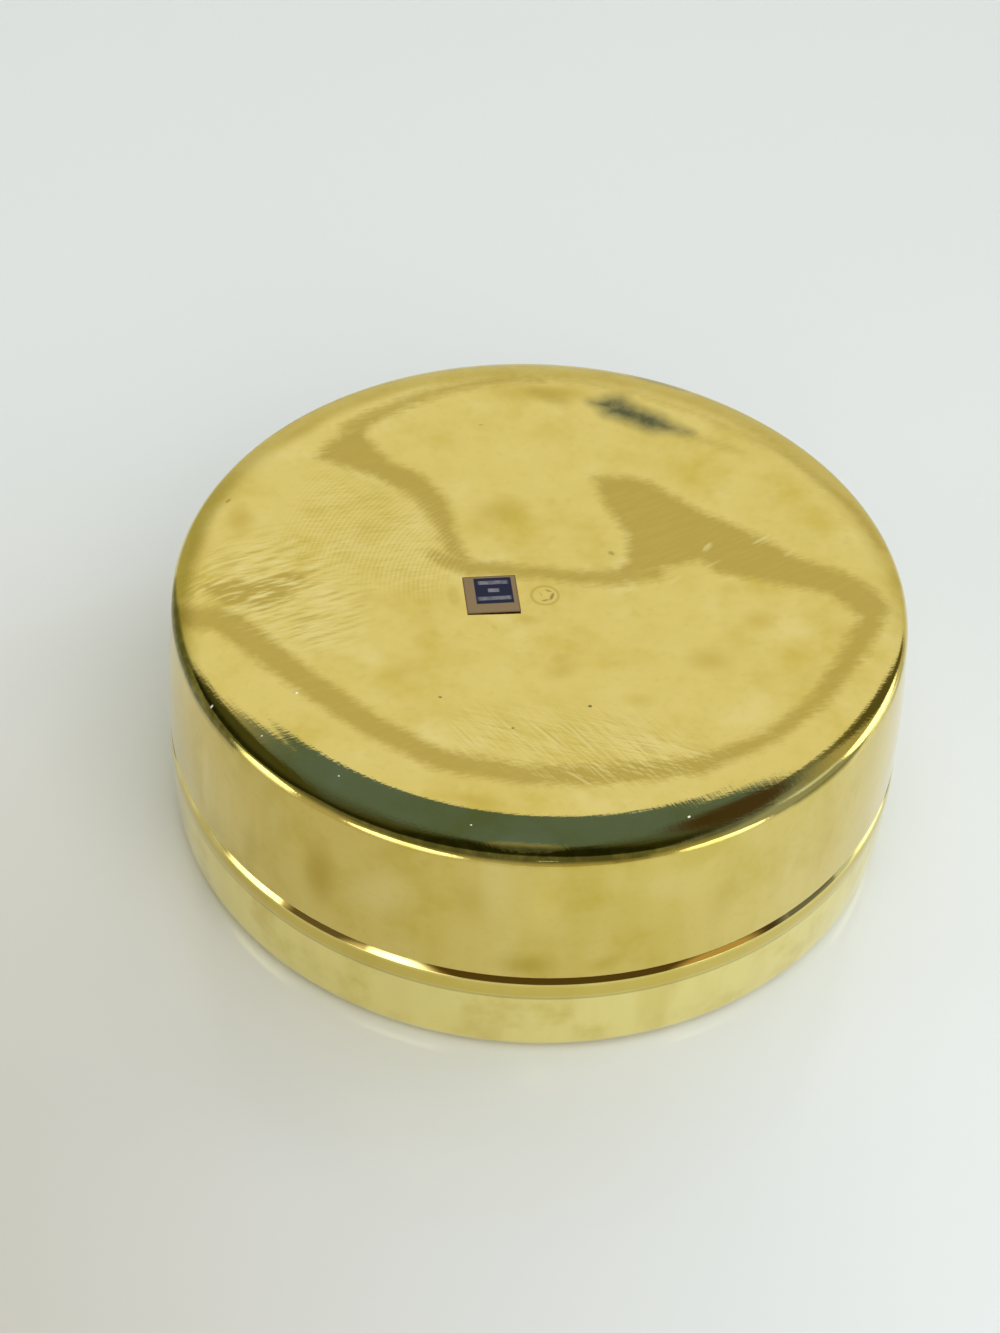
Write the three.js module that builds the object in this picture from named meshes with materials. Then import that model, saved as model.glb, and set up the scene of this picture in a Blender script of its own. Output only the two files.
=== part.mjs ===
// A round spun brass trinket box with a lift-off lid, shown turned over, as it stands on its lid.
// Millimetres. z = 0 is the surface under the lid's outer face, and +Z runs up to the base's underside.
import * as THREE from "three";

// Sheet and mouth: both shells are spun from one sheet and have the same mouth
const sheetThickness = 1.0;
const mouthRadius = 63.35;

// Base shell: a shallow pan with its underside up
const baseDepth = 28.75;
const baseLandHeight = 7;
const baseBellyRadius = 176;
const baseCornerRadius = 2.3;
const baseRimRounding = 0.75;
// its underside: a crowned shoulder, a narrow flat standing ring inside it, then a hollow dish
const shoulderWidth = 9.95;
const standingRingWidth = 1.2;
const crownRadius = 18;
const dishDepth = 2.2;

// Lid shell: a shallower pan, face down
const lidDepth = 18.9;
const lidLandHeight = 6;
const lidBellyRadius = 82;
const lidCornerRadius = 3.7;
// its mouth is bevelled outside, which makes the groove that shows between the rims
const lidBevelWidth = 0.75;
const lidBevelHeight = 1.2;
// the raised bead round the lid's mouth, under the bevel
const beadHeight = 3.2;
const beadStandOut = 0.15;

// Neck collar: the ring soldered inside the base's mouth, which the lid slips over
const collarThickness = 0.8;
const collarInBase = 6;
const collarInLid = 5;
const collarLeadIn = 0.5;

// Clearances between neighbours
const solderGap = 0.1;
const slipClearance = 0.1;
const rimSeatGap = 0.05;

// Origin sticker: a square of clear film on the dish, beside the centre
const stickerSide = 9.05;
const stickerThickness = 0.1;
const stickerCentreX = -8.26;
const stickerCentreY = -1.56;
const stickerTurn = THREE.MathUtils.degToRad(9.2);
const stickerGap = 0.04;

// Facets: spans round the axis and along each arc of a profile
const roundSpans = 84;
const dishSpans = 5;
const crownSpans = 5;
const cornerSpans = 5;
const bellySpans = 3;
const beadSpans = 4;
const rimSpans = 3;

// Sizes that follow from the ones above
const overallHeight = lidDepth + rimSeatGap + baseDepth;
const baseRimZ = lidDepth + rimSeatGap;
const baseInnerRadius = mouthRadius - sheetThickness;
const standingRingOuterRadius = mouthRadius - shoulderWidth;
const collarOuterRadius = baseInnerRadius - solderGap;
const lidInnerRadius = collarOuterRadius + slipClearance;
const lidMouthRadius = lidInnerRadius + sheetThickness;

// Profiles are lists of (radius, height) points.
// An arc's angle is measured from straight up (0) through outward (90 degrees) to straight down.
function arc(centre, radius, fromAngle, toAngle, spans) {
  const points = [];
  for (let i = 0; i <= spans; i++) {
    const angle = fromAngle + ((toAngle - fromAngle) * i) / spans;
    points.push([centre[0] + radius * Math.sin(angle), centre[1] + radius * Math.cos(angle)]);
  }
  return points;
}

// The centre of a small arc that touches two larger arcs from inside: it lies where two circles
// about their centres cross, each smaller than its arc by the small arc's radius. The upper
// crossing is the one wanted.
function filletCentre(centreA, reachA, centreB, reachB) {
  const gapR = centreB[0] - centreA[0];
  const gapZ = centreB[1] - centreA[1];
  const apart = Math.hypot(gapR, gapZ);
  const along = (reachA * reachA - reachB * reachB + apart * apart) / (2 * apart);
  const aside = Math.sqrt(reachA * reachA - along * along);
  const crossings = [1, -1].map((side) => [
    centreA[0] + (along * gapR - side * aside * gapZ) / apart,
    centreA[1] + (along * gapZ + side * aside * gapR) / apart,
  ]);
  return crossings[0][1] > crossings[1][1] ? crossings[0] : crossings[1];
}

function angleFrom(centre, point) {
  return Math.atan2(point[0] - centre[0], point[1] - centre[1]);
}

// Turns a profile about the z axis. It is listed clockwise, with r to the right and z up, and
// points that two arcs share are kept once.
function revolve(profile) {
  const points = [];
  for (const [radius, height] of profile) {
    const last = points[points.length - 1];
    const point = new THREE.Vector2(radius, height);
    if (!last || last.distanceTo(point) > rimSeatGap / 10) {
      points.push(point);
    }
  }
  const geometry = new THREE.LatheGeometry(points.reverse(), roundSpans);
  geometry.rotateX(Math.PI / 2);
  return geometry;
}

function named(name, geometry, colour, roughness, metalness) {
  const material = new THREE.MeshStandardMaterial({ color: colour, roughness, metalness });
  const mesh = new THREE.Mesh(geometry, material);
  mesh.name = name;
  return mesh;
}

// The dish is part of a large sphere that meets the standing ring's inner edge.
const ringInnerRadius = standingRingOuterRadius - standingRingWidth;
const dishRadius = (ringInnerRadius ** 2 + dishDepth ** 2) / (2 * dishDepth);
const dishCentreZ = overallHeight - dishDepth + dishRadius;

// A point row of the dish, or of its inner side, from the axis out to the given radius
function dishRow(sphereRadius, outTo) {
  const points = [];
  for (let i = 0; i <= dishSpans; i++) {
    const radius = (outTo * i) / dishSpans;
    points.push([radius, dishCentreZ - Math.sqrt(sphereRadius ** 2 - radius ** 2)]);
  }
  return points;
}

function baseProfile() {
  const crownCentre = [standingRingOuterRadius, overallHeight - crownRadius];
  const bellyCentre = [mouthRadius - baseBellyRadius, baseRimZ + baseLandHeight];
  const corner = filletCentre(
    crownCentre,
    crownRadius - baseCornerRadius,
    bellyCentre,
    baseBellyRadius - baseCornerRadius,
  );
  const crownEnd = angleFrom(crownCentre, corner);
  const bellyEnd = angleFrom(bellyCentre, corner);
  const outward = Math.PI / 2;
  const rimCentre = [mouthRadius - baseRimRounding, baseRimZ + baseRimRounding];
  // the flat under the standing ring, inside, ends where the dish's inner sphere meets it
  const innerFlatRadius = Math.sqrt(ringInnerRadius ** 2 + 2 * dishDepth * sheetThickness);
  return [
    ...dishRow(dishRadius, ringInnerRadius),
    ...arc(crownCentre, crownRadius, 0, crownEnd, crownSpans),
    ...arc(corner, baseCornerRadius, crownEnd, bellyEnd, cornerSpans),
    ...arc(bellyCentre, baseBellyRadius, bellyEnd, outward, bellySpans),
    ...arc(rimCentre, baseRimRounding, outward, Math.PI, rimSpans),
    [baseInnerRadius, baseRimZ],
    ...arc(bellyCentre, baseBellyRadius - sheetThickness, outward, bellyEnd, bellySpans),
    ...arc(corner, baseCornerRadius - sheetThickness, bellyEnd, crownEnd, cornerSpans),
    ...arc(crownCentre, crownRadius - sheetThickness, crownEnd, 0, crownSpans),
    ...dishRow(dishRadius + sheetThickness, innerFlatRadius).reverse(),
  ];
}

function lidProfile() {
  const bellyCentre = [lidMouthRadius - lidBellyRadius, lidDepth - lidLandHeight];
  const cornerReach = lidBellyRadius - lidCornerRadius;
  const cornerDrop = bellyCentre[1] - lidCornerRadius;
  const corner = [bellyCentre[0] + Math.sqrt(cornerReach ** 2 - cornerDrop ** 2), lidCornerRadius];
  const bellyEnd = angleFrom(bellyCentre, corner);
  const outward = Math.PI / 2;
  const bevelFoot = lidDepth - lidBevelHeight;
  const beadRadius = (beadHeight ** 2 / 4 + beadStandOut ** 2) / (2 * beadStandOut);
  const beadCentre = [lidMouthRadius + beadStandOut - beadRadius, bevelFoot - beadHeight / 2];
  const beadHalfAngle = Math.asin(beadHeight / 2 / beadRadius);
  return [
    [0, sheetThickness],
    [corner[0], sheetThickness],
    ...arc(corner, lidCornerRadius - sheetThickness, Math.PI, bellyEnd, cornerSpans),
    ...arc(bellyCentre, lidBellyRadius - sheetThickness, bellyEnd, outward, bellySpans),
    [lidInnerRadius, lidDepth],
    [lidMouthRadius - lidBevelWidth, lidDepth],
    [lidMouthRadius, bevelFoot],
    ...arc(beadCentre, beadRadius, outward - beadHalfAngle, outward + beadHalfAngle, beadSpans),
    ...arc(bellyCentre, lidBellyRadius, outward, bellyEnd, bellySpans),
    ...arc(corner, lidCornerRadius, bellyEnd, Math.PI, cornerSpans),
    [0, 0],
  ];
}

function collarProfile() {
  const inner = collarOuterRadius - collarThickness;
  const low = lidDepth - collarInLid;
  const high = baseRimZ + collarInBase;
  const leadIn = [collarOuterRadius - collarLeadIn, low + collarLeadIn];
  return [
    [inner, high],
    [collarOuterRadius, high],
    ...arc(leadIn, collarLeadIn, Math.PI / 2, Math.PI, rimSpans),
    [inner, low],
    [inner, high],
  ];
}

function stickerGeometry() {
  const geometry = new THREE.BoxGeometry(stickerSide, stickerSide, stickerThickness);
  // it lies level just over the dish at the sticker's far corner, where the dish is highest
  const farthest = Math.hypot(stickerCentreX, stickerCentreY) + stickerSide / Math.SQRT2;
  const dishTop = dishCentreZ - Math.sqrt(dishRadius ** 2 - farthest ** 2);
  geometry.rotateZ(stickerTurn);
  geometry.translate(stickerCentreX, stickerCentreY, dishTop + stickerGap + stickerThickness / 2);
  return geometry;
}

const box = new THREE.Group();
box.add(named("lid_shell", revolve(lidProfile()), 0xd8c66a, 0.16, 1));
box.add(named("base_shell", revolve(baseProfile()), 0xd8c66a, 0.14, 1));
box.add(named("neck_collar", revolve(collarProfile()), 0xc9b45c, 0.24, 1));
box.add(named("origin_sticker", stickerGeometry(), 0x23264a, 0.35, 0));

export default box;
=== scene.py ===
# Round spun brass trinket box, turned over and standing on its lid on a pale table.
# Metres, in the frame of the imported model: z = 0 is the table and +Z runs up to the underside.
import math

import bpy
import numpy as np
from mathutils import Matrix, Vector


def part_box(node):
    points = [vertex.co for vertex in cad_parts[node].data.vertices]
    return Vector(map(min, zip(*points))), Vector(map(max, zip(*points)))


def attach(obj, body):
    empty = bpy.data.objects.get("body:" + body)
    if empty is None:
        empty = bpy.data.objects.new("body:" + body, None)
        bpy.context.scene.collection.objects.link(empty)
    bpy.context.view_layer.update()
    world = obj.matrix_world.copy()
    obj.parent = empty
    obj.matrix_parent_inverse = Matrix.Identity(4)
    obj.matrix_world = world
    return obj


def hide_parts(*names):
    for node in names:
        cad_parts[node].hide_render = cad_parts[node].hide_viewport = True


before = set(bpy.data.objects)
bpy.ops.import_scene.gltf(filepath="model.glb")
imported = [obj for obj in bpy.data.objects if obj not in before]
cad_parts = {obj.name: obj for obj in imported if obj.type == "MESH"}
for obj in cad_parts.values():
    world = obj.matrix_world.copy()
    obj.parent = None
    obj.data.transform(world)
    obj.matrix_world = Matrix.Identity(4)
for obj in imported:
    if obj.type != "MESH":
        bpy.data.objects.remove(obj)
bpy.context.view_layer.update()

mm = 0.001
touching = 0.001 * mm
# a wave texture's length is 2 pi / 20 of a unit at scale 1
waveUnit = 2 * math.pi / 20


# Camera: it stands on the -Y side and looks down at the edge of the underside, then turns a
# little in its own axes, as a hand-held one does.
cameraView = {
    "distance": 0.5419,
    "elevationDegrees": 42.493,
    "aimHeight": 0.0462,
    "panDegrees": 0.644,
    "tiltDegrees": -1.425,
    "rollDegrees": 3.532,
    "lensMm": 86.42,
    "sensorMm": 36.0,
}


def makeCamera(view):
    elevation = math.radians(view["elevationDegrees"])
    lens = bpy.data.cameras.new("photoCamera")
    lens.lens = view["lensMm"]
    lens.sensor_width = view["sensorMm"]
    lens.sensor_height = view["sensorMm"]
    lens.clip_start = 0.01
    lens.clip_end = 20
    camera = bpy.data.objects.new("photoCamera", lens)
    bpy.context.scene.collection.objects.link(camera)
    back = Vector((0, -math.cos(elevation), math.sin(elevation)))
    place = Matrix.Translation(back * view["distance"] + Vector((0, 0, view["aimHeight"])))
    lookDown = Matrix.Rotation(math.pi / 2 - elevation, 4, "X")
    pan = Matrix.Rotation(math.radians(view["panDegrees"]), 4, "Y")
    tilt = Matrix.Rotation(math.radians(view["tiltDegrees"]), 4, "X")
    roll = Matrix.Rotation(math.radians(view["rollDegrees"]), 4, "Z")
    camera.matrix_world = place @ lookDown @ pan @ tilt @ roll
    bpy.context.scene.camera = camera
    return camera


# Node and colour helpers
def linearColour(hexColour):
    # sRGB hex to linear: divide by 12.92 near black, otherwise a power of 2.4
    values = np.array([int(hexColour[i:i + 2], 16) for i in (1, 3, 5)]) / 255
    linear = np.where(values <= 0.04045, values / 12.92, ((values + 0.055) / 1.055) ** 2.4)
    return (*[float(v) for v in linear], 1.0)


def addNode(tree, kind, inputs=None, **settings):
    # adds one node; an input is a value, a socket to link, or a node whose first output is linked
    node = tree.nodes.new(kind)
    for name, value in settings.items():
        setattr(node, name, value)
    for key, value in (inputs or {}).items():
        source = value.outputs[0] if isinstance(value, bpy.types.Node) else value
        if isinstance(source, bpy.types.NodeSocket):
            tree.links.new(source, node.inputs[key])
        else:
            node.inputs[key].default_value = source
    return node


def newMaterial(name):
    material = bpy.data.materials.new(name)
    material.use_nodes = True
    material.node_tree.nodes.clear()
    return material, material.node_tree


# Turned shapes
def arcPoints(centre, radius, startAngle, endAngle, spans):
    # points of a circle; the angle runs from straight up through outward to straight down
    angle = np.linspace(startAngle, endAngle, spans + 1)
    return np.array(centre) + radius * np.stack([np.sin(angle), np.cos(angle)], axis=1)


def linePoints(start, end, spans):
    share = np.linspace(0, 1, spans + 1)[:, None]
    return np.array(start) * (1 - share) + np.array(end) * share


def angleFrom(centre, point):
    return math.atan2(point[0] - centre[0], point[1] - centre[1])


def filletCentre(centreA, reachA, centreB, reachB):
    # the upper crossing of two circles about the big arcs' centres, each smaller by the fillet
    apart = np.array(centreB) - np.array(centreA)
    length = float(np.hypot(*apart))
    along = (reachA ** 2 - reachB ** 2 + length ** 2) / (2 * length)
    aside = math.sqrt(reachA ** 2 - along ** 2)
    unit = apart / length
    across = np.array([-unit[1], unit[0]])
    crossings = [np.array(centreA) + along * unit + side * aside * across for side in (1, -1)]
    return max(crossings, key=lambda point: point[1])


# An eased corner is the curve (1 - t)² a + 2 t (1 - t) corner + t² b, for t from 0 to 1, between
# the points a and b that lie one reach from the corner on its two sides.
def easedCorner(before, corner, after, reach, spans):
    before, corner, after = [np.array(point, float) for point in (before, corner, after)]
    start = corner + (before - corner) * reach / np.hypot(*(before - corner))
    end = corner + (after - corner) * reach / np.hypot(*(after - corner))
    t = np.linspace(0, 1, spans + 1)[:, None]
    return (1 - t) ** 2 * start + 2 * t * (1 - t) * corner + t ** 2 * end


# A surface of revolution: the profile's point (radius, height), carried to turn a, lies at
# (radius cos a, radius sin a, height). The profile runs clockwise with the radius to the right,
# in sections that take materials 0, 1 and so on. One that starts and ends on the axis is closed
# there by fans, and any other closes on itself.
def turnedPiece(name, sections, turnSpans):
    profile = np.vstack(sections)
    finish = np.repeat(np.arange(len(sections)), [len(section) for section in sections])
    step = np.hypot(*np.diff(profile, axis=0).T)
    distinct = np.concatenate([[True], step > touching])
    profile, finish = profile[distinct], finish[distinct]
    closesOnAxis = profile[0, 0] < touching
    rings = profile[1:-1] if closesOnAxis else profile[:-1]
    turn = np.linspace(0, 2 * math.pi, turnSpans, endpoint=False)
    x = rings[:, 0, None] * np.cos(turn)
    y = rings[:, 0, None] * np.sin(turn)
    z = np.repeat(rings[:, 1, None], turnSpans, axis=1)
    points = np.stack([x, y, z], axis=2).reshape(-1, 3)
    index = np.arange(len(points)).reshape(len(rings), turnSpans)
    lower = index[1:] if closesOnAxis else np.roll(index, -1, axis=0)
    upper = index[:-1] if closesOnAxis else index
    around = [upper, lower, np.roll(lower, -1, axis=1), np.roll(upper, -1, axis=1)]
    faces = np.stack(around, axis=2).reshape(-1, 4).tolist()
    faceFinish = np.repeat(finish[1:-2] if closesOnAxis else finish[:-1], turnSpans)
    if closesOnAxis:
        poles = np.array([[0, 0, profile[0, 1]], [0, 0, profile[-1, 1]]])
        points = np.vstack([points, poles])
        first, last = len(points) - 2, len(points) - 1
        after = np.roll(index, -1, axis=1)
        firstFan = np.stack([np.full(turnSpans, first), index[0], after[0]], axis=1)
        lastFan = np.stack([np.full(turnSpans, last), after[-1], index[-1]], axis=1)
        faces += firstFan.tolist() + lastFan.tolist()
        fanFinish = [np.full(turnSpans, finish[0]), np.full(turnSpans, finish[-1])]
        faceFinish = np.concatenate([faceFinish, *fanFinish])
    mesh = bpy.data.meshes.new(name)
    mesh.from_pydata(points.tolist(), [], faces)
    mesh.polygons.foreach_set("material_index", faceFinish.astype(np.int32))
    mesh.polygons.foreach_set("use_smooth", np.ones(len(faces), bool))
    mesh.set_sharp_from_angle(angle=math.radians(40))
    mesh.update()
    piece = bpy.data.objects.new(name, mesh)
    bpy.context.scene.collection.objects.link(piece)
    return piece


# Base: a deep pan spun from one sheet, its dished underside up.
basePan = {
    "sheet": 1.0 * mm,
    "landHeight": 7.0 * mm,
    "bellyRadius": 176.0 * mm,
    "cornerRadius": 2.3 * mm,
    "rimRounding": 0.75 * mm,
    "shoulderWidth": 9.95 * mm,
    "ringWidth": 1.2 * mm,
    "crownRadius": 18.0 * mm,
    "dishDepth": 2.2 * mm,
    "turnSpans": 400,
}


# The dish is a sphere of radius (w² + d²) / 2d, for a ring of inner radius w and a depth d.
def dishHeight(radius, top, pan, inwards=0.0):
    ringInner = pan["ringOuter"] - pan["ringWidth"]
    sphere = (ringInner ** 2 + pan["dishDepth"] ** 2) / (2 * pan["dishDepth"])
    centre = top - pan["dishDepth"] + sphere
    return centre - np.sqrt((sphere + inwards) ** 2 - np.asarray(radius) ** 2)


# Two sections: the outside, from the middle of the dish to the rim, and the inside.
def baseSections(pan):
    low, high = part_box("base_shell")
    mouth, rimZ, top = high.x, low.z, high.z
    sheet = pan["sheet"]
    pan["ringOuter"] = mouth - pan["shoulderWidth"]
    ringInner = pan["ringOuter"] - pan["ringWidth"]
    crown = [pan["ringOuter"], top - pan["crownRadius"]]
    belly = [mouth - pan["bellyRadius"], rimZ + pan["landHeight"]]
    corner = filletCentre(
        crown, pan["crownRadius"] - pan["cornerRadius"],
        belly, pan["bellyRadius"] - pan["cornerRadius"],
    )
    crownEnd = angleFrom(crown, corner)
    bellyEnd = angleFrom(belly, corner)
    rim = [mouth - pan["rimRounding"], rimZ + pan["rimRounding"]]
    dish = np.linspace(0, ringInner, 81)
    innerFlat = math.sqrt(ringInner ** 2 + 2 * pan["dishDepth"] * sheet)
    innerDish = np.linspace(innerFlat, 0, 31)
    half = math.pi / 2
    outside = [
        np.stack([dish, dishHeight(dish, top, pan)], axis=1),
        linePoints([ringInner, top], [pan["ringOuter"], top], 4),
        arcPoints(crown, pan["crownRadius"], 0, crownEnd, 24),
        arcPoints(corner, pan["cornerRadius"], crownEnd, bellyEnd, 20),
        arcPoints(belly, pan["bellyRadius"], bellyEnd, half, 16),
        linePoints([mouth, belly[1]], [mouth, rim[1]], 6),
        arcPoints(rim, pan["rimRounding"], half, math.pi, 8),
    ]
    inside = [
        linePoints([rim[0], rimZ], [mouth - sheet, rimZ], 2),
        arcPoints(belly, pan["bellyRadius"] - sheet, half, bellyEnd, 12),
        arcPoints(corner, pan["cornerRadius"] - sheet, bellyEnd, crownEnd, 8),
        arcPoints(crown, pan["crownRadius"] - sheet, crownEnd, 0, 8),
        np.stack([innerDish, dishHeight(innerDish, top, pan, sheet)], axis=1),
    ]
    return [np.vstack(outside), np.vstack(inside)]


# Lid: a shallow pan spun from one sheet, face down, with a raised bead round its mouth.
lidPan = {
    "sheet": 1.0 * mm,
    "landHeight": 6.0 * mm,
    "bellyRadius": 82.0 * mm,
    "cornerRadius": 3.7 * mm,
    "bevelWidth": 0.75 * mm,
    "bevelHeight": 1.2 * mm,
    "edgeEase": 0.12 * mm,
    "beadFootEase": 0.35 * mm,
    "beadHeight": 3.2 * mm,
    "beadStandOut": 0.15 * mm,
    "turnSpans": 360,
}


# Two sections: the inside, from the middle of the floor to the rim, and the outside.
def lidSections(pan):
    low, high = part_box("lid_shell")
    top = high.z
    mouth = high.x - pan["beadStandOut"]
    sheet = pan["sheet"]
    half = math.pi / 2
    belly = [mouth - pan["bellyRadius"], top - pan["landHeight"]]
    reach = pan["bellyRadius"] - pan["cornerRadius"]
    drop = belly[1] - pan["cornerRadius"]
    corner = [belly[0] + math.sqrt(reach ** 2 - drop ** 2), pan["cornerRadius"]]
    bellyEnd = angleFrom(belly, corner)
    bevelTop = [mouth - pan["bevelWidth"], top]
    bevelFoot = [mouth, top - pan["bevelHeight"]]
    beadFoot = [mouth, bevelFoot[1] - pan["beadHeight"]]
    beadRadius = (pan["beadHeight"] ** 2 / 4 + pan["beadStandOut"] ** 2) / (2 * pan["beadStandOut"])
    bead = [mouth + pan["beadStandOut"] - beadRadius, (bevelFoot[1] + beadFoot[1]) / 2]
    beadHalf = math.asin(pan["beadHeight"] / 2 / beadRadius)
    beadCurve = arcPoints(bead, beadRadius, half - beadHalf, half + beadHalf, 16)
    ease = pan["edgeEase"]
    inside = [
        linePoints([0, sheet], [corner[0], sheet], 30),
        arcPoints(corner, pan["cornerRadius"] - sheet, math.pi, bellyEnd, 10),
        arcPoints(belly, pan["bellyRadius"] - sheet, bellyEnd, half, 8),
        linePoints([mouth - sheet, belly[1]], [mouth - sheet, top], 4),
    ]
    outside = [
        easedCorner([mouth - sheet, top], bevelTop, bevelFoot, ease, 4),
        easedCorner(bevelTop, bevelFoot, beadCurve[1], ease, 4),
        beadCurve[1:-2],
        easedCorner(beadCurve[-3], beadFoot, [mouth, belly[1]], pan["beadFootEase"], 5),
        linePoints([mouth, beadFoot[1] - pan["beadFootEase"]], [mouth, belly[1]], 3),
        arcPoints(belly, pan["bellyRadius"], half, bellyEnd, 14),
        arcPoints(corner, pan["cornerRadius"], bellyEnd, math.pi, 16),
        linePoints([corner[0], 0], [0, 0], 30),
    ]
    return [np.vstack(inside), np.vstack(outside)]


# Collar: the plain ring soldered into the base, its lower edge eased where the lid slips on.
neckRing = {
    "thickness": 0.8 * mm,
    "leadIn": 0.5 * mm,
    "turnSpans": 288,
}


def collarSections(ring):
    low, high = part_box("neck_collar")
    outer = high.x
    inner = outer - ring["thickness"]
    lead = [outer - ring["leadIn"], low.z + ring["leadIn"]]
    return [np.vstack([
        linePoints([inner, high.z], [outer, high.z], 2),
        linePoints([outer, high.z], [outer, lead[1]], 8),
        arcPoints(lead, ring["leadIn"], math.pi / 2, math.pi, 6),
        linePoints([lead[0], low.z], [inner, low.z], 2),
        linePoints([inner, low.z], [inner, high.z], 8),
    ])]


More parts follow.
